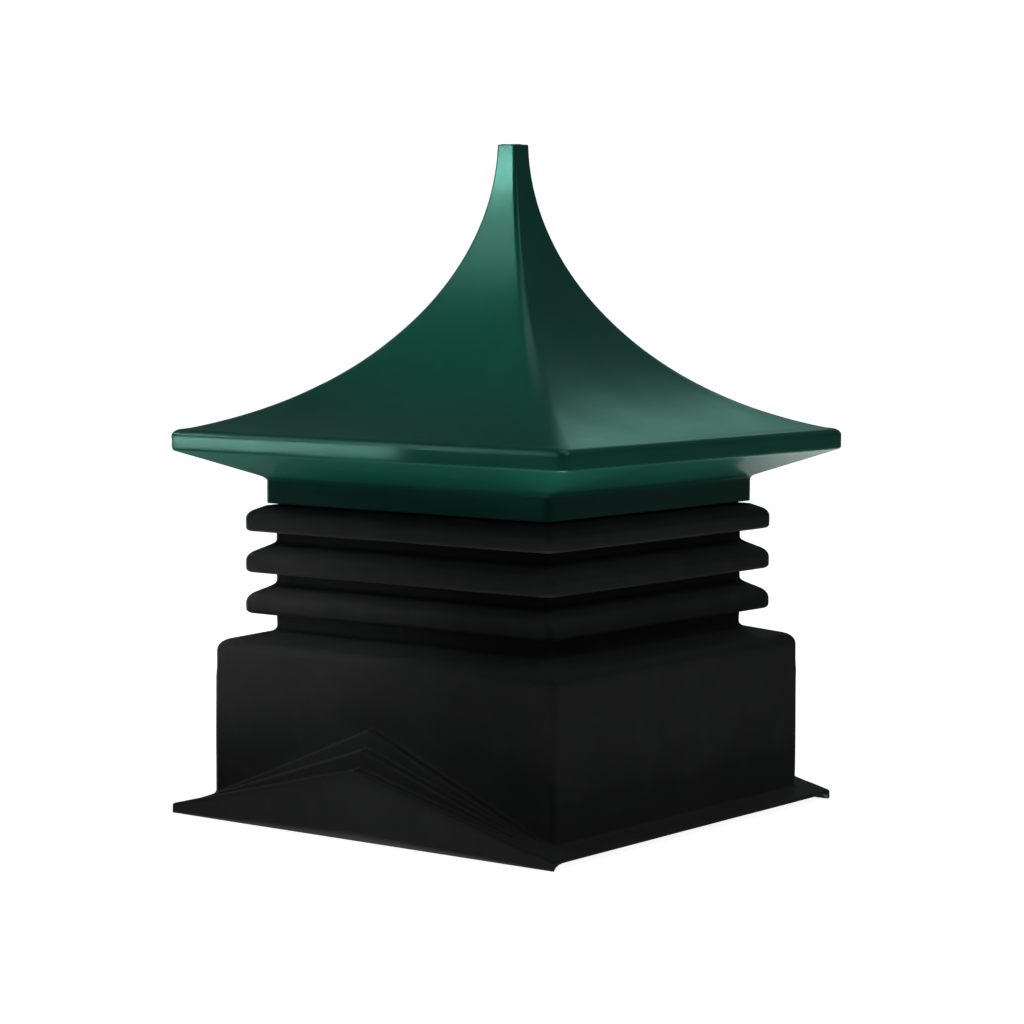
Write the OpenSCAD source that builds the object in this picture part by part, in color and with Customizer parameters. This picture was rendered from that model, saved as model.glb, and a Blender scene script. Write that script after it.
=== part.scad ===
// Moulded roof cupola: a hollow square base with louvre-shaped rings under a
// pagoda roof that curves up to a narrow cut tip. Everything is a thin skin.
// Millimetres. +Z is up, z = 0 is the lowest edge of the base.
// Front and back (-Y, +Y) are the gable sides, left and right (-X, +X) the eave sides.

/* [Overall] */
// Width across the eave of the roof
eave_w = 610; // [450:1:1200]
// Height from the lowest edge of the base to the cut tip
total_h = 836; // [700:1:1100]
// Thickness of the moulded skin
skin_t = 4; // [3:0.5:6]

/* [Roof] */
// Radius of the hollow curve of each roof slope
curve_r = 375; // [340:1:450]
// Width of the cut tip
tip_w = 30; // [24:1:60]
// Height of the closed piece at the tip
tip_h = 30; // [20:1:60]
// Height of the fascia
fascia_h = 23.5; // [12:0.5:40]
// Width of the top strip that belongs to the eave
eave_strip = 12; // [8:1:30]
// Fall of the soffit, in 12
soffit_pitch = 5; // [3:0.5:7]
// Width across the collar that laps over the base
collar_w = 441; // [380:1:500]
// Height of the collar that shows, from the top ring to the soffit
collar_h = 34.5; // [20:0.5:60]
// Corner radius of the eave in plan
eave_r = 12; // [6:1:20]

/* [Louvres] */
// Width across the louvre rings
louvre_w = 478; // [445:1:520]
// Width across the neck between the rings
neck_w = 418; // [360:1:430]
// Distance from one ring to the next
louvre_gap = 51.5; // [45:0.5:70]
// Height of a ring where it meets the neck
louvre_h = 40.5; // [34:0.5:44]
// Fall of the top of a ring, in 12
louvre_pitch = 8; // [5:0.5:9]
// Rise of the underside from the neck to the nose
louvre_lift = 1.5; // [0:0.5:4]
// Height of the upright edge that stands inside the collar
upstand_h = 24; // [10:1:30]
// Gap between the collar and the upright edge inside it
lap_clear = 7.5; // [1:0.5:10]
// Height of neck that belongs to a ring, above and below it
joint_h = 3; // [2:0.5:5]
// Corner radius of rings and collar in plan
ring_r = 10; // [5:1:15]

/* [Base] */
// Width across the box walls
wall_w = 529; // [490:1:560]
// Height of the box walls to the edge of the shoulder
wall_h = 214.5; // [180:0.5:300]
// Height of wall that belongs to the shoulder
arris_h = 14; // [8:1:30]
// Fall of the shoulder, in 12
shoulder_pitch = 3; // [2:0.5:5]
// Height of plain neck between the shoulder and the lowest ring
neck_h = 20.5; // [10:0.5:40]
// Corner radius of the box walls in plan
wall_r = 8; // [5:1:15]

/* [Skirt and gable trim] */
// Width across the skirts on the eave sides
skirt_w = 593; // [560:1:640]
// Depth over the two gable panels
panel_d = 605; // [560:1:640]
// Height of the foot of the wall above the lowest edge
foot_z = 19.5; // [15:0.5:40]
// Fall of the skirt, in 12
skirt_pitch = 3; // [1:0.5:5]
// Pitch of the upper, middle and lower trim line, in 12
upper_pitch = 5; // [4.5:0.25:6]
middle_pitch = 4; // [3.5:0.25:4.5]
lower_pitch = 3; // [2:0.25:3.5]

/* [Colours] */
roof_green = "#0f4636";
base_black = "#1c1c1c";

/* [Hidden] */
$fn = 96;
curve_fn = 720;
run = 12;

eave_x = eave_w / 2;
collar_x = collar_w / 2;
upstand_x = collar_x - skin_t - lap_clear;
louvre_x = louvre_w / 2;
neck_x = neck_w / 2;
wall_x = wall_w / 2;
skirt_x = skirt_w / 2;

// Levels, from the base up.
shoulder_z = wall_h + (wall_x - neck_x) * shoulder_pitch / run;
ring_z = [for (i = [0:2]) shoulder_z + neck_h + i * louvre_gap];
nose_h = louvre_h - (louvre_x - neck_x) * louvre_pitch / run;
seat_z = ring_z[2] + nose_h + (louvre_x - collar_x) * louvre_pitch / run;
soffit_z = seat_z + collar_h;
fascia_z = soffit_z + (eave_x - collar_x) * soffit_pitch / run;
arris_z = fascia_z + fascia_h;
tip_z = total_h - tip_h;

// Centre of the roof curve, from its two ends and its radius.
chord = [eave_x - tip_w / 2, arris_z - total_h];
curve_c = [(eave_x + tip_w / 2) / 2, (arris_z + total_h) / 2]
    + sqrt(pow(curve_r / norm(chord), 2) - 1 / 4) * [-chord[1], chord[0]];

// The trim lines all start at the foot of the wall, each on a plane of its own.
line_pitch = [upper_pitch, middle_pitch, lower_pitch];
step = (panel_d / 2 - wall_x) / len(line_pitch);
plane_y = [for (i = [0:len(line_pitch)]) wall_x + i * step];
apex_z = [for (p = line_pitch) foot_z + wall_x * p / run];
rim_z = foot_z - (skirt_x - wall_x) * skirt_pitch / run;

// ---- Paths -------------------------------------------------------------------

function unit(v) = v / norm(v);
function side(a, b) = unit([b[1] - a[1], a[0] - b[0]]);

// A path moved sideways by d, with mitred corners.
function moved(path, d) = [for (i = [0:len(path) - 1])
    let (a = side(path[max(i - 1, 0)], path[max(i, 1)]),
         b = side(path[min(i, len(path) - 2)], path[min(i + 1, len(path) - 1)]))
    path[i] + d * (a + b) / (1 + a * b)];

function backwards(path) = [for (i = [len(path) - 1:-1:0]) path[i]];

// Outline of a skin of the given thickness behind a path.
function skin(path) = concat(path, backwards(moved(path, skin_t)));

// Vertical thickness of a sloping skin.
function slope_t(pitch) = skin_t * norm([1, pitch / run]);

// Trim line i and its run down the skirt, from left to right.
function trim_line(i) =
    [[-skirt_x, rim_z], [-wall_x, foot_z], [0, apex_z[i]], [wall_x, foot_z], [skirt_x, rim_z]];

// ---- Shapes ------------------------------------------------------------------

// Turns a piece that is drawn on the front to one of the other sides.
module on_side(quarter) {
    rotate([0, 0, 90 * quarter]) children();
}

// A section of (distance from the centre, height), run along the front.
module along_front() {
    rotate([90, 0, -90]) linear_extrude(height = 2 * eave_w, center = true) children();
}

// An upright plate on the front: an outline of (x, z), set back y_in from the centre.
module plate(outline, y_in, depth) {
    translate([0, -y_in, 0]) rotate([90, 0, 0]) linear_extrude(height = depth) polygon(outline);
}

module quarter_prism() {
    linear_extrude(height = total_h) polygon([[0, 0], [-eave_w, -eave_w], [eave_w, -eave_w]]);
}

module rounded_prism(w, r) {
    linear_extrude(height = total_h) {
        square([w, w - 2 * r], center = true);
        square([w - 2 * r, w], center = true);
        for (x = [-1, 1], y = [-1, 1]) translate([x, y] * (w / 2 - r)) circle(r = r);
    }
}

// One mitred side of a square ring with rounded corners.
module ring_side(w, r) {
    intersection() {
        along_front() children();
        quarter_prism();
        rounded_prism(w, r);
    }
}

module roof_curve_skin() {
    translate(curve_c) difference() {
        circle(r = curve_r + skin_t, $fn = curve_fn);
        circle(r = curve_r, $fn = curve_fn);
    }
}

// Everything under the roof curve, inset by d, above height z0 and below z1.
module under_curve(d, z0, z1) {
    difference() {
        translate([-curve_c[0], z0]) square([2 * curve_c[0], z1 - z0]);
        for (x = [-1, 1]) translate([x * curve_c[0], curve_c[1]]) circle(r = curve_r + d, $fn = curve_fn);
    }
}

module tip_block(d, z1) {
    intersection() {
        along_front() under_curve(d, tip_z, z1);
        rotate([0, 0, 90]) along_front() under_curve(d, tip_z, z1);
        translate([-tip_w, -tip_w, tip_z]) cube([2 * tip_w, 2 * tip_w, tip_h]);
    }
}

module roof_slope() {
    intersection() {
        along_front() intersection() {
            roof_curve_skin();
            square([eave_x - eave_strip, tip_z]);
        }
        quarter_prism();
    }
}

module eave() {
    t = slope_t(soffit_pitch);
    ring_side(eave_w, eave_r) {
        intersection() {
            roof_curve_skin();
            translate([eave_x - eave_strip, fascia_z]) square([eave_strip, eave_strip + fascia_h]);
        }
        translate([eave_x - skin_t, fascia_z]) square([skin_t, fascia_h]);
        polygon([[eave_x, fascia_z], [eave_x, fascia_z + t],
                 [collar_x, soffit_z + t], [collar_x, soffit_z]]);
    }
}

module collar() {
    ring_side(collar_w, ring_r)
        translate([collar_x - skin_t, seat_z]) square([skin_t, collar_h + slope_t(soffit_pitch)]);
}

// Ring i, with the strip of neck under it.
module louvre(i) {
    z = ring_z[i];
    below = i == 0 ? z - joint_h : ring_z[i - 1] + louvre_h + joint_h;
    above = i == 2
        ? [[upstand_x, seat_z + upstand_h], [upstand_x, seat_z], [collar_x, seat_z]]
        : [[neck_x, z + louvre_h + joint_h], [neck_x, z + louvre_h]];
    nose = [[louvre_x, z + nose_h], [louvre_x, z + louvre_lift], [neck_x, z], [neck_x, below]];
    ring_side(louvre_w, ring_r) polygon(skin(concat(above, nose)));
}

module shoulder() {
    ring_side(wall_w, wall_r) polygon(skin([
        [neck_x, ring_z[0] - joint_h], [neck_x, shoulder_z], [wall_x, wall_h], [wall_x, wall_h - arris_h]]));
}

module eave_wall() {
    ring_side(wall_w, wall_r)
        translate([wall_x - skin_t, foot_z]) square([skin_t, wall_h - arris_h - foot_z]);
}

module gable_wall() {
    top = wall_h - arris_h;
    outline = [[-wall_x, top], [-wall_x, foot_z], [0, apex_z[0]], [wall_x, foot_z], [wall_x, top]];
    intersection() {
        plate(outline, wall_x - skin_t, skin_t);
        quarter_prism();
        rounded_prism(wall_w, wall_r);
    }
}

// Plan of what belongs to the front below the wall, with a mitre at each lower corner.
module gable_prism() {
    y = panel_d / 2;
    linear_extrude(height = total_h)
        polygon([[0, 0], [-wall_x, -wall_x], [-skirt_x, -y], [skirt_x, -y], [wall_x, -wall_x]]);
}

// Plan of what belongs to the right below the wall.
module skirt_prism() {
    y = panel_d / 2;
    linear_extrude(height = total_h)
        polygon([[0, 0], [wall_x, -wall_x], [skirt_x, -y], [skirt_x, y], [wall_x, wall_x]]);
}

module skirt() {
    t = slope_t(skirt_pitch);
    intersection() {
        rotate([0, 0, 90]) along_front() polygon([
            [wall_x - skin_t, foot_z], [wall_x, foot_z], [skirt_x, rim_z],
            [skirt_x, rim_z - t], [wall_x - skin_t, foot_z + skin_t * skirt_pitch / run - t]]);
        skirt_prism();
    }
}

// Everything under trim line i, between two planes.
module under_line(i, y_in, y_out) {
    plate(concat(trim_line(i), [[skirt_x, 0], [-skirt_x, 0]]), y_in, y_out - y_in);
}

// Ledge under trim line i, with the upright strip that runs down to the next line.
module gable_step(i) {
    y = plane_y[i + 1];
    intersection() {
        difference() {
            under_line(i, plane_y[i] - skin_t, y);
            translate([0, 0, -slope_t(line_pitch[i])]) under_line(i, plane_y[i] - 2 * skin_t, y - skin_t);
            if (i + 1 < len(line_pitch)) under_line(i + 1, y - skin_t, y + skin_t);
        }
        gable_prism();
    }
}

// ---- Sub-parts -----------------------------------------------------------------

module roof_tip() {
    color(roof_green) difference() {
        tip_block(0, total_h);
        tip_block(skin_t, total_h - skin_t);
    }
}

module roof_slope_front() { color(roof_green) on_side(0) roof_slope(); }
module roof_slope_right() { color(roof_green) on_side(1) roof_slope(); }
module roof_slope_back() { color(roof_green) on_side(2) roof_slope(); }
module roof_slope_left() { color(roof_green) on_side(3) roof_slope(); }

module eave_front() { color(roof_green) on_side(0) eave(); }
module eave_right() { color(roof_green) on_side(1) eave(); }
module eave_back() { color(roof_green) on_side(2) eave(); }
module eave_left() { color(roof_green) on_side(3) eave(); }

module collar_front() { color(roof_green) on_side(0) collar(); }
module collar_right() { color(roof_green) on_side(1) collar(); }
module collar_back() { color(roof_green) on_side(2) collar(); }
module collar_left() { color(roof_green) on_side(3) collar(); }

module louvre_top_front() { color(base_black) on_side(0) louvre(2); }
module louvre_top_right() { color(base_black) on_side(1) louvre(2); }
module louvre_top_back() { color(base_black) on_side(2) louvre(2); }
module louvre_top_left() { color(base_black) on_side(3) louvre(2); }

module louvre_middle_front() { color(base_black) on_side(0) louvre(1); }
module louvre_middle_right() { color(base_black) on_side(1) louvre(1); }
module louvre_middle_back() { color(base_black) on_side(2) louvre(1); }
module louvre_middle_left() { color(base_black) on_side(3) louvre(1); }

module louvre_bottom_front() { color(base_black) on_side(0) louvre(0); }
module louvre_bottom_right() { color(base_black) on_side(1) louvre(0); }
module louvre_bottom_back() { color(base_black) on_side(2) louvre(0); }
module louvre_bottom_left() { color(base_black) on_side(3) louvre(0); }

module shoulder_front() { color(base_black) on_side(0) shoulder(); }
module shoulder_right() { color(base_black) on_side(1) shoulder(); }
module shoulder_back() { color(base_black) on_side(2) shoulder(); }
module shoulder_left() { color(base_black) on_side(3) shoulder(); }

module wall_front() { color(base_black) on_side(0) gable_wall(); }
module wall_right() { color(base_black) on_side(1) eave_wall(); }
module wall_back() { color(base_black) on_side(2) gable_wall(); }
module wall_left() { color(base_black) on_side(3) eave_wall(); }

module skirt_right() { color(base_black) on_side(0) skirt(); }
module skirt_left() { color(base_black) on_side(2) skirt(); }

module gable_step_upper_front() { color(base_black) on_side(0) gable_step(0); }
module gable_step_middle_front() { color(base_black) on_side(0) gable_step(1); }
module gable_panel_front() { color(base_black) on_side(0) gable_step(2); }
module gable_step_upper_back() { color(base_black) on_side(2) gable_step(0); }
module gable_step_middle_back() { color(base_black) on_side(2) gable_step(1); }
module gable_panel_back() { color(base_black) on_side(2) gable_step(2); }

roof_tip();
roof_slope_front();
roof_slope_right();
roof_slope_back();
roof_slope_left();
eave_front();
eave_right();
eave_back();
eave_left();
collar_front();
collar_right();
collar_back();
collar_left();
louvre_top_front();
louvre_top_right();
louvre_top_back();
louvre_top_left();
louvre_middle_front();
louvre_middle_right();
louvre_middle_back();
louvre_middle_left();
louvre_bottom_front();
louvre_bottom_right();
louvre_bottom_back();
louvre_bottom_left();
shoulder_front();
shoulder_right();
shoulder_back();
shoulder_left();
wall_front();
wall_right();
wall_back();
wall_left();
skirt_right();
skirt_left();
gable_step_upper_front();
gable_step_middle_front();
gable_panel_front();
gable_step_upper_back();
gable_step_middle_back();
gable_panel_back();
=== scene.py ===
import math

import bmesh
import bpy
import numpy as np
from mathutils import Matrix, Vector, noise


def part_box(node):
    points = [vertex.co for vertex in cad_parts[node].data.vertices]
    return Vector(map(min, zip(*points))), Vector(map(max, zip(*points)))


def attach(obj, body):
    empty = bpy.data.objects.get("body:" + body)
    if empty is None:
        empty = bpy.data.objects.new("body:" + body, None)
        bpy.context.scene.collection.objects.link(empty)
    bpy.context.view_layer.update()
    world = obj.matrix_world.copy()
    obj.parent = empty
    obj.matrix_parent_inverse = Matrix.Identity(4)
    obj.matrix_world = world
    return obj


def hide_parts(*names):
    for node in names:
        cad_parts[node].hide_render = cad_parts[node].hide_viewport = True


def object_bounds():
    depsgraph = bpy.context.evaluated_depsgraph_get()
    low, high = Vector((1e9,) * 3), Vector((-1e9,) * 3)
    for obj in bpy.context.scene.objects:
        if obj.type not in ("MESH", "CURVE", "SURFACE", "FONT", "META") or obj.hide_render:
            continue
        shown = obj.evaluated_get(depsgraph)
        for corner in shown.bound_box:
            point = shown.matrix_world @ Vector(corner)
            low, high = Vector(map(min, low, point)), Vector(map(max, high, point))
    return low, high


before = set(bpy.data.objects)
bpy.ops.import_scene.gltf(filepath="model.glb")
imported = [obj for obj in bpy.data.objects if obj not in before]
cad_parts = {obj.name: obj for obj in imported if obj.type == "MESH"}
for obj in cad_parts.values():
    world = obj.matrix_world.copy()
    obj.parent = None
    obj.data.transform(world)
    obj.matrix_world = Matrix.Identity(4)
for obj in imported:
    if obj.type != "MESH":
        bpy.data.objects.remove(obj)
cad_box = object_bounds()
scene = bpy.context.scene
MM = 0.001
SKIN = 4.0  # thickness of both mouldings, mm

# The camera, the stage and the lights are in metres, and the two mouldings in millimetres.


# ---- Camera ------------------------------------------------------------------------

cam_data = bpy.data.cameras.new("camera")
cam_data.sensor_width = 36.0
cam_data.lens = 105.66
cam = bpy.data.objects.new("camera", cam_data)
scene.collection.objects.link(cam)
eye = Vector((2.274, -3.019, 0.6854))
aim = Vector((0.001, 0.001, 0.3748))
look = (aim - eye).to_track_quat("-Z", "Y").to_matrix().to_4x4()
roll = 0.006
cam.matrix_world = Matrix.Translation(eye) @ look @ Matrix.Rotation(roll, 4, "Z")
scene.camera = cam
scene.view_settings.view_transform = "Standard"


# ---- Node helpers --------------------------------------------------------------------

def new_material(name):
    """An empty node material, and its node tree."""
    mat = bpy.data.materials.new(name)
    mat.use_nodes = True
    nt = mat.node_tree
    nt.nodes.clear()
    return mat, nt


def node(nt, kind, **values):
    """A new node, with the values of its sockets or settings given by name."""
    n = nt.nodes.new(kind)
    for key, value in values.items():
        if key in n.inputs:
            n.inputs[key].default_value = value
        else:
            setattr(n, key, value)
    return n


def ramp(nt, source, stops):
    """Colour ramp on source, with (position, colour) stops."""
    n = nt.nodes.new("ShaderNodeValToRGB")
    el = n.color_ramp.elements
    while len(el) < len(stops):
        el.new(0.5)
    for e, (pos, col) in zip(el, stops):
        e.position = pos
        e.color = (*col, 1) if len(col) == 3 else col
    nt.links.new(source, n.inputs[0])
    return n.outputs[0]


def mix(nt, fac, a, b, blend="MIX"):
    """Colour mix. Each of fac, a and b is a value, a colour or another node's output."""
    n = nt.nodes.new("ShaderNodeMix")
    n.data_type = "RGBA"
    n.blend_type = blend
    for socket, value in ((n.inputs[0], fac), (n.inputs[6], a), (n.inputs[7], b)):
        if hasattr(value, "links"):
            nt.links.new(value, socket)
        elif isinstance(value, tuple):
            socket.default_value = (*value, 1)
        else:
            socket.default_value = value
    return n.outputs[2]


def grey(v):
    return (v, v, v)


def plastic(name, light, dark, rough, specular, tint, grain, peel, dust):
    """Moulded polyethylene: mottled pigment, uneven gloss, fine grain and a faint film.

    light, dark and tint are colours, and rough is a pair. grain and peel are bump strengths.
    """
    mat, nt = new_material(name)
    link = nt.links.new
    out = node(nt, "ShaderNodeOutputMaterial")
    bsdf = node(nt, "ShaderNodeBsdfPrincipled")
    link(bsdf.outputs[0], out.inputs[0])
    bsdf.inputs["Specular IOR Level"].default_value = specular
    bsdf.inputs["Specular Tint"].default_value = (*tint, 1)
    place = node(nt, "ShaderNodeTexCoord").outputs["Object"]

    def cloud(scale, detail=3.0, distort=0.0, stretch=None):
        src = place
        if stretch:
            m = node(nt, "ShaderNodeMapping")
            m.inputs["Scale"].default_value = stretch
            link(place, m.inputs[0])
            src = m.outputs[0]
        n = node(nt, "ShaderNodeTexNoise", Scale=scale, Detail=detail, Distortion=distort)
        link(src, n.inputs["Vector"])
        return n.outputs[0]

    # Pigment: slow clouds of colour with a fine mottle over them.
    slow = ramp(nt, cloud(7.0, 3.0, 0.6), [(0.32, dark), (0.68, light)])
    fine = ramp(nt, cloud(620.0, 2.0), [(0.3, grey(0.90)), (0.7, grey(1.0))])
    colour = mix(nt, 1.0, slow, fine, "MULTIPLY")
    # Faint chalky film from handling.
    film = ramp(nt, cloud(17.0, 4.0, 0.4), [(0.5, grey(0.0)), (0.85, grey(dust))])
    colour = mix(nt, film, colour, tuple(min(1.0, c * 1.9 + 0.01) for c in light))
    link(colour, bsdf.inputs["Base Color"])
    # Gloss: the skin is a little uneven where it cooled against the mould.
    gloss = ramp(nt, cloud(9.0, 2.0, 0.3), [(0.15, grey(rough[0])), (0.85, grey(rough[1]))])
    upright = (1.0, 1.0, 0.14)
    streak = ramp(nt, cloud(60.0, 1.5, 0.0, upright), [(0.1, grey(0.42)), (0.9, grey(0.58))])
    gloss = mix(nt, 0.35, gloss, streak, "OVERLAY")
    link(gloss, bsdf.inputs["Roughness"])
    # Relief: blast grain of the mould, then a soft orange peel.
    b1 = node(nt, "ShaderNodeBump", Strength=grain, Distance=0.0004)
    link(cloud(900.0, 2.0), b1.inputs["Height"])
    b2 = node(nt, "ShaderNodeBump", Strength=peel, Distance=0.0012)
    link(cloud(120.0, 2.0), b2.inputs["Height"])
    link(b1.outputs[0], b2.inputs["Normal"])
    link(b2.outputs[0], bsdf.inputs["Normal"])
    return mat


GREEN = plastic("green_polyethylene", (0.0078, 0.106, 0.067), (0.0058, 0.086, 0.054),
                (0.30, 0.37), 0.5, (0.34, 1.0, 0.84), 0.05, 0.06, 0.03)
BLACK = plastic("black_polyethylene", (0.0330, 0.0330, 0.0333), (0.0275, 0.0275, 0.0278),
                (0.62, 0.72), 0.13, (1.0, 1.0, 1.0), 0.25, 0.10, 0.20)


# ---- Stage and light -------------------------------------------------------------------

STAGE_R, STAGE_RINGS, STAGE_SPOKES = 14.0, 12, 64
FLOOR_Z, VEIL_Z = -0.0008, -0.0005
BACKDROP_R = 30.0


def emission_stage(name, strength):
    """A white glowing material, with the nodes that a caller may build on."""
    mat, nt = new_material(name)
    out = node(nt, "ShaderNodeOutputMaterial")
    glow = node(nt, "ShaderNodeEmission", Strength=strength)
    glow.inputs[0].default_value = (1, 1, 1, 1)
    nt.links.new(glow.outputs[0], out.inputs[0])
    return mat, nt, out, glow


def open_from_below(nt, shader, out):
    """Shows the shader from above and nothing from below, so that the underside can be seen."""
    clear = node(nt, "ShaderNodeBsdfTransparent")
    one_side = node(nt, "ShaderNodeMixShader")
    below = node(nt, "ShaderNodeNewGeometry").outputs["Backfacing"]
    nt.links.new(below, one_side.inputs[0])
    nt.links.new(shader.outputs[0], one_side.inputs[1])
    nt.links.new(clear.outputs[0], one_side.inputs[2])
    nt.links.new(one_side.outputs[0], out.inputs[0])


def disc(name, z):
    """A level disc at height z, finer towards its middle."""
    verts, faces = [(0, 0, z)], []
    turns = [2 * math.pi * j / STAGE_SPOKES for j in range(STAGE_SPOKES)]
    for i in range(1, STAGE_RINGS + 1):
        r = STAGE_R * (i / STAGE_RINGS) ** 2
        verts += [(r * math.cos(t), r * math.sin(t), z) for t in turns]
    for j in range(STAGE_SPOKES):
        k = (j + 1) % STAGE_SPOKES
        faces.append((0, 1 + j, 1 + k))
        for i in range(1, STAGE_RINGS):
            a, b = 1 + (i - 1) * STAGE_SPOKES, 1 + i * STAGE_SPOKES
            faces.append((a + j, b + j, b + k, a + k))
    me = bpy.data.meshes.new(name)
    me.from_pydata(verts, [], faces)
    ob = bpy.data.objects.new(name, me)
    scene.collection.objects.link(ob)
    return ob


floor = disc("stage_floor", FLOOR_Z)
floor_mat, nt, out, glow = emission_stage("floor_pale", 0.02)
pale = node(nt, "ShaderNodeBsdfDiffuse")
pale.inputs[0].default_value = (0.82, 0.82, 0.82, 1)
both = node(nt, "ShaderNodeAddShader")
nt.links.new(pale.outputs[0], both.inputs[0])
nt.links.new(glow.outputs[0], both.inputs[1])
open_from_below(nt, both, out)
floor.data.materials.append(floor_mat)
floor.visible_glossy = floor.visible_diffuse = floor.visible_shadow = False

bpy.ops.mesh.primitive_uv_sphere_add(segments=48, ring_count=24, radius=BACKDROP_R)
backdrop = bpy.context.object
backdrop.name = "stage_backdrop"
backdrop.data.materials.append(emission_stage("backdrop_white", 1.05)[0])
# A clear sheet that only the camera sees brightens the floor to the backdrop's white.
veil = disc("stage_veil", VEIL_Z)
veil_mat, nt, out, glow = emission_stage("floor_veil", 0.9)
distance = node(nt, "ShaderNodeVectorMath", operation="LENGTH")
nt.links.new(node(nt, "ShaderNodeTexCoord").outputs["Object"], distance.inputs[0])
far = node(nt, "ShaderNodeMapRange")
near_to_far, dim_to_white = (0.5, 2.2), (0.87, 1.02)  # metres from the middle; strength there
for socket, value in zip(far.inputs[1:5], near_to_far + dim_to_white):
    socket.default_value = value
nt.links.new(distance.outputs["Value"], far.inputs[0])
nt.links.new(far.outputs[0], glow.inputs["Strength"])
clear = node(nt, "ShaderNodeBsdfTransparent")
over = node(nt, "ShaderNodeAddShader")
nt.links.new(clear.outputs[0], over.inputs[0])
nt.links.new(glow.outputs[0], over.inputs[1])
open_from_below(nt, over, out)
veil.data.materials.append(veil_mat)
for ob in (veil, backdrop):
    for ray in ("diffuse", "glossy", "transmission", "volume_scatter", "shadow"):
        setattr(ob, "visible_" + ray, False)

world = bpy.data.worlds.new("studio")
scene.world = world
world.use_nodes = True
sky = world.node_tree.nodes["Background"]
sky.inputs[0].default_value = (0.92, 0.97, 1.0, 1)
sky.inputs[1].default_value = 0.08


def soft_light(name, azimuth, elevation, reach, width, height, power, colour=(1, 1, 1),
               target=(0, 0, 0.5), spread=180):
    """A rectangular light at reach metres from target, which it faces.

    Azimuth is measured from -Y towards -X. Angles are in degrees.
    """
    a, e = math.radians(azimuth), math.radians(elevation)
    way = Vector((-math.sin(a) * math.cos(e), -math.cos(a) * math.cos(e), math.sin(e)))
    data = bpy.data.lights.new(name, "AREA")
    data.shape = "RECTANGLE"
    data.size, data.size_y = width, height
    data.energy = power
    ob = bpy.data.objects.new(name, data)
    scene.collection.objects.link(ob)
    ob.matrix_world = (Matrix.Translation(Vector(target) + way * reach)
                       @ way.to_track_quat("Z", "Y").to_matrix().to_4x4())
    data.color = colour
    data.spread = math.radians(spread)


# Name, azimuth, elevation, reach, width, height, power. The beams are narrow, so that each
# lights one place: the tip, the front fascia, and the front of the black part.
soft_light("key", 46, 33, 3.0, 0.85, 0.9, 9)
soft_light("key_beam", 43, 10, 3.0, 0.8, 0.4, 0.66, (0.8, 1.0, 0.96),
           target=(0, 0, 0.735), spread=8)
soft_light("eave_beam", 45, 0, 1.1, 0.6, 0.03, 0.012, target=(-0.06, 0, 0.469), spread=3)
soft_light("wall_beam", 60, 0, 1.4, 0.25, 0.25, 0.03, target=(-0.34, -0.26, 0.22), spread=9)
soft_light("body_beam", 55, 33, 2.2, 0.3, 0.2, 0.062, target=(-0.11, -0.2, 0.19), spread=8)
soft_light("right", -97, 42, 3.0, 1.3, 1.3, 10)
soft_light("rear_window", 157, 27, 3.2, 1.2, 0.65, 3.2, (0.45, 1.0, 0.84))
soft_light("top", -130, 78, 3.0, 2.0, 2.0, 12)
soft_light("under_mid", 0, -88, 3.0, 3.2, 3.2, 50, spread=80)
soft_light("under_left", 98, -15, 3.0, 1.3, 1.3, 62)
soft_light("under_rear", 174, -15, 3.0, 1.3, 1.3, 11)


# ---- Sections ----------------------------------------------------------------------------

QUARTER = math.pi / 2
TINY = 1e-6        # stands in for a length of nothing where it would be divided by
WELD = 0.01        # points nearer than this are one point
BOX_MARGIN = 0.02  # the least distance kept from the faces of the CAD model's box


def rounded(points, arc):
    """(x, z, radius, cuts) corners to a polyline, with arc segments at each corner.

    cuts is how many pieces the straight before the corner is cut into, or 1 if left out.
    """
    n = len(points)
    pts = [np.array(p[:2], float) for p in points]
    rows = [pts[0]]
    for i in range(1, n):
        p = pts[i]
        if i < n - 1:
            d0, d1 = pts[i - 1] - p, pts[i + 1] - p
            l0, l1 = max(np.linalg.norm(d0), TINY), max(np.linalg.norm(d1), TINY)
            u0, u1 = d0 / l0, d1 / l1
            turn = math.pi - math.acos(max(-1, min(1, float(u0 @ u1))))
            t = min(points[i][2] * math.tan(turn / 2), 0.48 * l0, 0.48 * l1)
            start, end = p + u0 * t, p + u1 * t
        else:
            start = end = p
        cuts = points[i][3] if len(points[i]) > 3 else 1
        a = rows[-1]
        rows += [a + (start - a) * k / cuts for k in range(1, cuts)]
        rows.append(start)
        if i < n - 1:
            bend = math.cos(turn / 2)  # makes the quadratic a true circular arc
            for k in range(1, arc + 1):
                s = k / arc
                b0, b1, b2 = (1 - s) ** 2, 2 * s * (1 - s) * bend, s * s
                rows.append((b0 * start + b1 * p + b2 * end) / (b0 + b1 + b2))
    return np.array(rows)


def inset(points, d):
    """The same corners moved d inwards (to the right of the path), radii kept sensible."""
    pts = [np.array(p[:2], float) for p in points]
    n, out_pts = len(pts), []
    for i, p in enumerate(points):
        a = pts[i] - pts[i - 1] if i else pts[1] - pts[0]
        b = pts[i + 1] - pts[i] if i < n - 1 else a
        na = np.array((a[1], -a[0])) / max(np.linalg.norm(a), 1e-9)
        nb = np.array((b[1], -b[0])) / max(np.linalg.norm(b), 1e-9)
        q = pts[i] + d * (na + nb) / max(0.35, 1 + float(na @ nb))
        convex = a[0] * b[1] - a[1] * b[0] < 0
        r = max(0.6, p[2] - d) if convex else p[2] + d
        out_pts.append((q[0], q[1], r, *p[3:]))
    return out_pts


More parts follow.
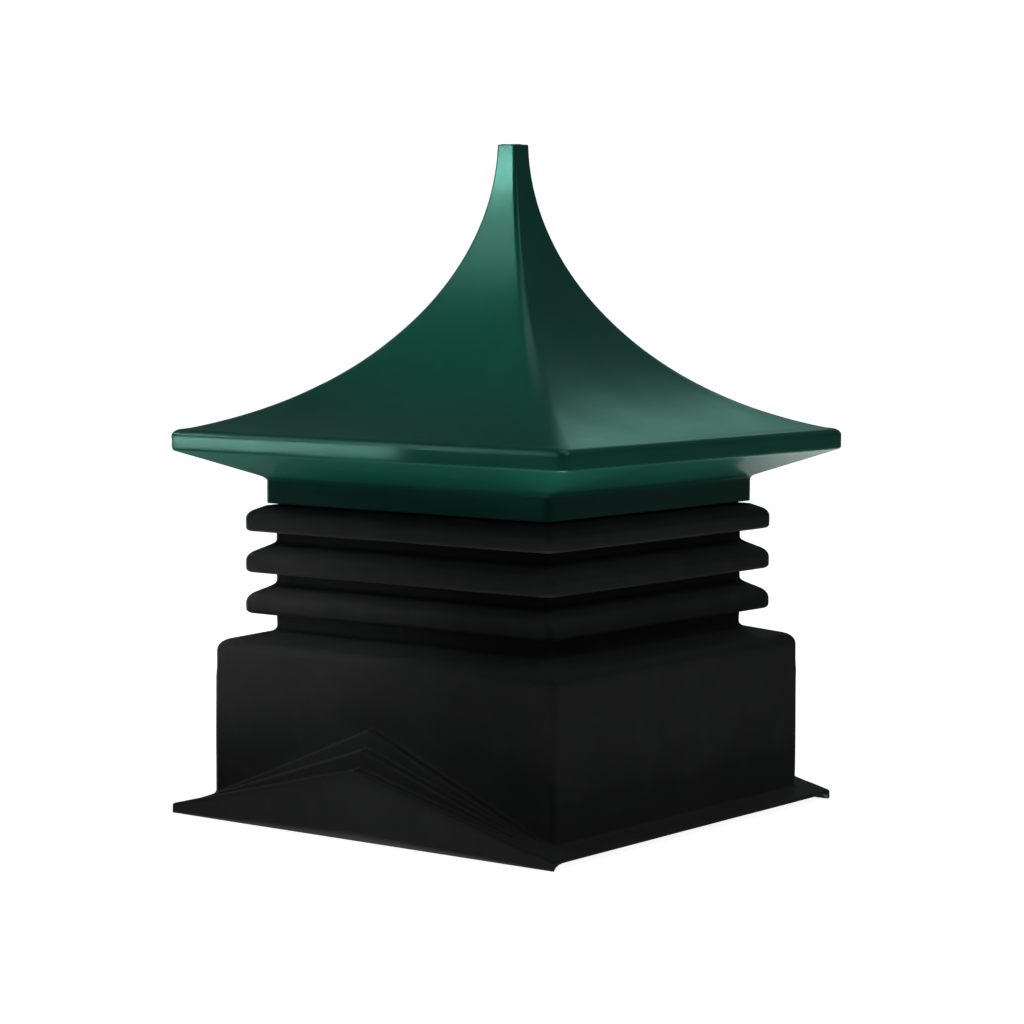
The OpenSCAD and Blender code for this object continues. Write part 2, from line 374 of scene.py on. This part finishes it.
def grid_mesh(name, rows, material, closed_loop=False):
    """Mesh of a rows x columns x 3 array, with the columns closed round the object.

    The rows are closed too in a closed loop, and otherwise the first and last are capped.
    """
    nr, nc = rows.shape[:2]
    verts = (rows.reshape(-1, 3) * MM).tolist()
    faces = []
    last = nr if closed_loop else nr - 1
    for r in range(last):
        a, b = r * nc, ((r + 1) % nr) * nc
        for c in range(nc):
            d = (c + 1) % nc
            faces.append((a + c, b + c, b + d, a + d))
    if not closed_loop:
        faces.append(tuple(range(nc)))
        faces.append(tuple((nr - 1) * nc + c for c in reversed(range(nc))))
    me = bpy.data.meshes.new(name)
    me.from_pydata(verts, [], faces)
    bm = bmesh.new()
    bm.from_mesh(me)
    bmesh.ops.remove_doubles(bm, verts=bm.verts, dist=WELD * MM)
    bm.to_mesh(me)
    bm.free()
    me.validate()
    me.polygons.foreach_set("use_smooth", [True] * len(me.polygons))
    ob = bpy.data.objects.new(name, me)
    scene.collection.objects.link(ob)
    ob.data.materials.append(material)
    return ob


def wobble(p, size, amount, seed):
    """Smooth noise of the given size and amount, which makes a moulded face uneven."""
    return amount * noise.noise(Vector((p[0] / size + seed, p[1] / size, p[2] / size)))


# Sides front, right, back and left: the way along each (x, y) and the way out of it (x, y).
TURN = [(1, 0, 0, -1), (0, 1, 1, 0), (-1, 0, 0, 1), (0, -1, -1, 0)]


def on_side(k, along, out, z):
    """The point of side k at a distance along it and a distance out from the middle."""
    ax, ay, ox, oy = TURN[k]
    return (along * ax + out * ox, along * ay + out * oy, z)


def columns(flat, arc_n):
    """Plan columns: (side, 'flat', share of the straight) and (side, 'arc', angle)."""
    made = []
    for k in range(4):
        made += [(k, "flat", s) for s in flat[k]]
        made += [(k, "arc", QUARTER * (i + 1) / (arc_n + 1)) for i in range(arc_n)]
    return made


def plan_point(col, w, r, z):
    """The column's point on a square of half-width w and corner radius r, at height z."""
    k, kind, s = col
    if kind == "flat":
        return on_side(k, s * (w - r), w, z)
    return on_side(k, w - r + r * math.sin(s), w - r + r * math.cos(s), z)


BOX_LO = np.array(cad_box[0]) / MM
BOX_HI = np.array(cad_box[1]) / MM


def inside_box(co):
    """The points, kept just inside the box of the CAD model."""
    return np.minimum(np.maximum(co, BOX_LO + BOX_MARGIN), BOX_HI - BOX_MARGIN)


# ---- Sizes that both mouldings share, from the CAD nodes ---------------------------------

def mm(node_name):
    """Lowest and highest corner of a CAD node, in millimetres."""
    lo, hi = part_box(node_name)
    return [v / MM for v in lo], [v / MM for v in hi]


TOP = BOX_HI[2]
EAVE_LO, COLLAR_LO = mm("eave_front")[0], mm("collar_front")[0]
SKIRT_LO, SKIRT_HI = mm("skirt_right")

# Half-widths, from the middle out to the front face of each node.
EAVE_X, COLLAR_X = -EAVE_LO[1], -COLLAR_LO[1]
LOUVRE_X, WALL_X = -mm("louvre_top_front")[0][1], -mm("wall_front")[0][1]
PANEL_X = abs(mm("gable_panel_front")[0][1])
TIP_X = 15.0

# Heights.
SEAT_Z, SOFFIT_Z = COLLAR_LO[2], EAVE_LO[2]
SOFFIT_PITCH, FASCIA_H = 5, 23.5
FASCIA_Z = SOFFIT_Z + (EAVE_X - COLLAR_X) * SOFFIT_PITCH / 12
ARRIS_Z = FASCIA_Z + FASCIA_H


# ---- Roof moulding ------------------------------------------------------------------------

CURVE_R, CURVE_CUTS = 375.0, 84
FACE_COLUMNS, HIP_COLUMNS = 31, 9
TIP_EDGE = 1.8          # the cut top rounds over in this height
COLLAR_LIFT = 3.3       # the collar ends this far above its seat
ARRIS_START = 16.0      # the curve gives way to the arris this far from the eave's edge
CROWN = [(0.02, 0.0), (0.3, 0.1), (0.6, 0.3), (0.8, 0.5), (0.95, 0.8), (1.0, TIP_EDGE)]


def roof_rows(d):
    """(half-width, height) of each row, from the tip down to the collar, set in by d."""
    chord = np.array((EAVE_X - TIP_X, ARRIS_Z - TOP))
    mid = np.array(((EAVE_X + TIP_X) / 2, (ARRIS_Z + TOP) / 2))
    reach = math.sqrt((CURVE_R / np.linalg.norm(chord)) ** 2 - 0.25)
    centre = mid + reach * np.array((-chord[1], chord[0]))
    radius = CURVE_R + d
    top = TOP - d
    edge = centre[0] - math.sqrt(radius ** 2 - (top - TIP_EDGE - centre[1]) ** 2)
    rows = [(edge * share, top - drop) for share, drop in CROWN]
    x_end = EAVE_X - ARRIS_START - d * 0.2
    a0 = math.asin((top - TIP_EDGE - 1.0 - centre[1]) / radius)
    a1 = -math.acos((centre[0] - x_end) / radius)
    for i in range(CURVE_CUTS + 1):
        a = a0 + (a1 - a0) * i / CURVE_CUTS
        rows.append((centre[0] - radius * math.cos(a), centre[1] + radius * math.sin(a)))
    fascia_x = EAVE_X - 0.3 - d
    low = 1.04 * d  # the slope of the soffit takes this much height from an inset of d
    foot_z = SEAT_Z + COLLAR_LIFT
    foot_r = 3.4 if d == 0 else 0.8
    tail = rounded([
        (rows[-1][0], rows[-1][1], 0),
        (fascia_x - 0.2, ARRIS_Z + 0.8 - d * 0.9, max(4.0, 10.0 - d), 2),
        (fascia_x, FASCIA_Z + 0.2 + low, max(1.5, 4.0 - d * 0.5), 4),
        (COLLAR_X - d, SOFFIT_Z + 0.3 + low, 7.0 + d * 0.4, 14),
        (COLLAR_X - d, foot_z, foot_r, 8),
        (COLLAR_X - SKIN / 2 - 0.01, foot_z, 0, 2),
    ], 6)
    return rows + [tuple(p) for p in tail[1:]]


def hip_radius(w, z, inner):
    """Corner radius in plan at half-width w: tight at the tip, wider down the hips."""
    if z > ARRIS_Z + 3:
        r = min(5.0 + 0.09 * (w - TIP_X), 18.0) * (1 if w > TIP_X else w / TIP_X * 0.9)
    else:
        r = 12.0 if w > COLLAR_X + 8 else 10.0
    if inner:
        r = max(min(r - SKIN, w * 0.9), 0.4 * w / TIP_X if w < TIP_X else 1.0)
    return min(r, w * 0.92)


def roof_point(col, w, z, r, inner):
    """A point of the roof, with the slight waviness of a moulded face."""
    x, y, top = plan_point(col, w, r, z)
    grow = min(1.0, w / 90.0)
    dz = (wobble((x, y, z), 95.0, 0.9 * grow, 3.0)
          + wobble((x, y, z), 38.0, 0.2 * grow, 9.0))
    dw = wobble((x, y, z), 120.0, 0.5 * grow, 6.0)
    if z > TOP - 6 and not inner:  # the cut at the tip is a little rough
        top += wobble((x, y, 0), 7.0, 0.8 * min(1.0, w / 12), 2.0) - 0.1
        dz = 0
    dz *= min(1.0, max(0.25, (z - ARRIS_Z) / 25.0))
    k = 1 + dw / max(w, 30.0)
    return (x * k, y * k, top + dz)


def build_roof():
    """Down the outside and up the inside, with a flat cap in the middle of each end."""
    cols = columns([list(np.linspace(-1, 1, FACE_COLUMNS))] * 4, HIP_COLUMNS)
    rows = []
    for path, inner in ((roof_rows(0.0), False), (reversed(roof_rows(SKIN)), True)):
        for w, z in path:
            r = hip_radius(w, z, inner)
            rows.append([roof_point(col, w, z, r, inner) for col in cols])
    return grid_mesh("roof_moulding", inside_box(np.array(rows)), GREEN)


roof = build_roof()


# ---- Base moulding ------------------------------------------------------------------------

RINGS = [SEAT_Z - 32.8, SEAT_Z - 84.3, SEAT_Z - 135.8]  # where each ring leaves the neck
NOSES = [(13.0, 4.5), (14.5, 5.5), (15.5, 6.0)]         # upper and lower radius of each ring
SHIFT = -4.5       # the trim and the flange sit this far off the middle of the walls
NECK = 211.0
UPSTAND_X, UPSTAND_H = 209.0, 24.0
WALL_R, RING_R = 8.0, 10.0
SHOULDER_Z = RINGS[2] - 20.0
WALL_TOP = SHOULDER_Z - (WALL_X - NECK) * 3 / 12 - 0.2
WALL_CUT = WALL_TOP - 32.0  # the section is the same all round above this height

EDGE, FOOT_Z, RIM_LOW = SKIRT_HI[0], SKIRT_HI[2], SKIRT_LO[2]
PITCH, SKIRT_PITCH = [5.0, 4.0, 3.0], 3    # rise in 12 of run
GABLE_FOOT_R, SKIRT_FOOT_R = 3.4, 8.5
COVE = 19.0        # width of the hollow where the rim rises from a panel to a skirt

WIDE_COLUMNS, SIDE_COLUMNS = 41, 31
SEAM_COLUMNS = (-2.4, -1.1, -0.5, 0.0, 0.5, 1.1, 2.4)
# Where the columns of a corner reach the border, as distances before and after its corner.
BEFORE = [30.0, 20.0, 12.0, 7.0, 4.0]
ROUND = 3          # columns round the corner itself
AFTER = [2.4, 4.0, 5.5, 7.5, 10.0, 13.0, 17.0, 23.0, 31.0]
CORNER_COLUMNS = len(BEFORE) + ROUND + len(AFTER)


def base_section():
    """Corners of the outer section from the hidden upright edge down to the wall."""
    pts = [(UPSTAND_X, SEAT_Z + UPSTAND_H, 0), (UPSTAND_X, SEAT_Z + 0.6, 1.2, 3),
           (COLLAR_X + 0.5, SEAT_Z + 0.1, 1.0, 2)]
    for i, z in enumerate(RINGS):
        rise = (0.0, 0.3, 0.6)[i]
        if i:
            pts.append((NECK, z + 39.2 - rise, 5.0 + i, 3))
        pts.append((LOUVRE_X - 0.1, z + 24.3 - rise * 2, NOSES[i][0], 5))
        pts.append((LOUVRE_X - 0.4, z + 1.6, NOSES[i][1], 3))
        pts.append((NECK, z - 0.2, 2.2, 5))
    pts.append((NECK - 0.4, SHOULDER_Z, 7.0, 4))
    pts.append((WALL_X - 0.7, WALL_TOP, 15.0, 8))
    pts.append((WALL_X - 0.5, WALL_CUT, 0, 3))
    return pts


def trim_z(i, x):
    """Height of trim line i at x."""
    u = abs(x - SHIFT)
    if u <= WALL_X:
        return FOOT_Z + (WALL_X - u) * PITCH[i] / 12
    return FOOT_Z - (u - WALL_X) * SKIRT_PITCH / 12


def border(k, d):
    """How far out the edge of the flange is on side k, set in by d."""
    if k in (0, 2):
        return PANEL_X - d
    return EDGE + (SHIFT if k == 1 else -SHIFT) - d


def lower_column(start, end, foot_r, bottom_z, d, edge_r):
    """Foot, steps and border from a wall point to a border point, set in by d."""
    start, end = np.array(start[:2]), np.array(end[:2])
    length = float(np.linalg.norm(end - start))
    way = (end - start) / max(length, TINY)
    drop = 1.08 * d

    def height(i, s):
        return trim_z(i, (start + way * s)[0]) - drop

    pts = [(0.0, WALL_CUT, 0), (0.0, height(0, 0.0), foot_r, 12)]
    for i, s in enumerate((length / 3, 2 * length / 3)):
        x = (start + way * s)[0]
        # A step closes up where its two lines meet.
        e = 1.2 * (1 - min(1.0, (trim_z(i, x) - trim_z(i + 1, x)) / 3))
        pts.append((s - e, height(i, s - e), 4.2, 1))
        pts.append((s + e, height(i + 1, s + e), 3.4, 1))
    pts.append((length, height(2, length), edge_r, 2))
    pts.append((length, bottom_z, 0, 7))
    return [(*(start + way * s), z) for s, z in rounded(pts, 4)]


def flat_column(k, share, d):
    """Lower column on the straight part of side k."""
    gable = k in (0, 2)
    along = share * (WALL_X + 0.2 - WALL_R)
    start = on_side(k, along, WALL_X + 0.2 - d, 0)
    end = on_side(k, along, border(k, d), 0)
    if gable:
        return lower_column(start, end, GABLE_FOOT_R, 0.0, d, 4.2)
    return lower_column(start, end, SKIRT_FOOT_R, RIM_LOW, d, 3.0)


def corner_column(k, angle, d, straight):
    """Lower column on the corner that follows side k."""
    i = int(round(angle / QUARTER * (CORNER_COLUMNS + 1))) - 1
    out, out_next = border(k, d), border((k + 1) % 4, d)
    if i < len(BEFORE):
        end = on_side(k, out_next - BEFORE[i] * (out_next - straight) / 36.0, out, 0)
    elif i < len(BEFORE) + ROUND:
        turn = QUARTER * (i - len(BEFORE) + 0.5) / ROUND
        r = 2.0
        end = on_side(k, out_next - r + r * math.sin(turn), out - r + r * math.cos(turn), 0)
    else:
        step = AFTER[i - len(BEFORE) - ROUND]
        end = on_side(k, out_next, out - step * (out - straight) / 40.0, 0)
    # The panels reach the bottom and the skirts don't: a cove joins the two heights.
    depth = PANEL_X - d - abs(end[1])
    if depth <= 0.9:
        bottom = 0.0
    elif depth < COVE:
        q = (depth - 0.9) / (COVE - 0.9)
        bottom = RIM_LOW * math.sqrt(max(0.0, 1 - (1 - q) ** 2))
    else:
        bottom = RIM_LOW
    t = (i + 1) / (CORNER_COLUMNS + 1)
    t = t if k in (0, 2) else 1 - t
    foot = GABLE_FOOT_R + (SKIRT_FOOT_R - GABLE_FOOT_R) * min(1.0, t * 1.6)
    start = plan_point((k, "arc", angle), WALL_X + 0.2 - d, max(WALL_R - d, 3.0), 0)
    return lower_column(start, end, foot, bottom, d, 3.2)


def base_rows(cols, straight, d):
    """Rows from the upright edge down to the rim, set in by d."""
    section = base_section()
    if d:
        section = inset(section, d)
    rows = []
    for w, z in rounded(section, 5):
        r = RING_R if w > NECK + 6 and z > SHOULDER_Z + 6 else WALL_R
        rows.append([plan_point(c, w, max(r - d, 3.0), z) for c in cols])
    lower = [flat_column(k, s, d) if kind == "flat" else corner_column(k, s, d, straight)
             for k, kind, s in cols]
    lower = np.array(lower).transpose(1, 0, 2)
    return np.concatenate([np.array(rows), lower[1:]], axis=0)


def build_base():
    """Down the outside and up the inside, closed into a loop."""
    straight = WALL_X - WALL_R

    def seam(at):
        """Columns of a gable side, close together where the parting line is."""
        wide = np.linspace(-straight, straight, WIDE_COLUMNS)
        return sorted([c for c in wide if abs(c - at) > 5.0] + [at + v for v in SEAM_COLUMNS])

    side = list(np.linspace(-straight, straight, SIDE_COLUMNS))
    flat = [[v / straight for v in f] for f in (seam(SHIFT), side, seam(-SHIFT), side)]
    cols = columns(flat, CORNER_COLUMNS)
    outer, inner = base_rows(cols, straight, 0.0), base_rows(cols, straight, SKIN)
    # Parting line of the mould, up the middle of the trim on both gable sides.
    x, y, z = outer[..., 0], outer[..., 1], outer[..., 2]
    scale = np.where(z > WALL_TOP, np.abs(y) / WALL_X, 1.0)
    ridge = 0.22 * np.exp(-((x - SHIFT * scale) / 0.9) ** 2) * (np.abs(y) > 150)
    outer[..., 1] = y + np.sign(y) * ridge
    co = np.concatenate([outer, inner[::-1]], axis=0)
    for p in co.reshape(-1, 3):
        q = p.copy()
        dw = wobble(q, 130.0, 0.7, 21.0) + wobble(q, 40.0, 0.1, 27.0)
        p[:2] *= 1 + dw / max(abs(q[0]), abs(q[1]), 100.0)
        if q[2] > 3:
            p[2] += wobble(q, 90.0, 0.5, 33.0) * min(1.0, q[2] / 60.0)
    return grid_mesh("base_moulding", inside_box(co), BLACK, closed_loop=True)


base = build_base()


# ---- What each piece rides on and stands for ----------------------------------------------

def named(names, sides):
    return ["%s_%s" % (name, side) for name in names for side in sides]


SIDES = ("front", "right", "back", "left")
roof_nodes = ["roof_tip"] + named(("roof_slope", "eave", "collar"), SIDES)
base_nodes = (named(("louvre_top", "louvre_middle", "louvre_bottom", "shoulder", "wall"), SIDES)
              + named(("skirt",), ("right", "left"))
              + named(("gable_step_upper", "gable_step_middle", "gable_panel"),
                      ("front", "back")))

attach(roof, "root")
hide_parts(*roof_nodes)
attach(base, "root")
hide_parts(*base_nodes)

bpy.context.view_layer.update()
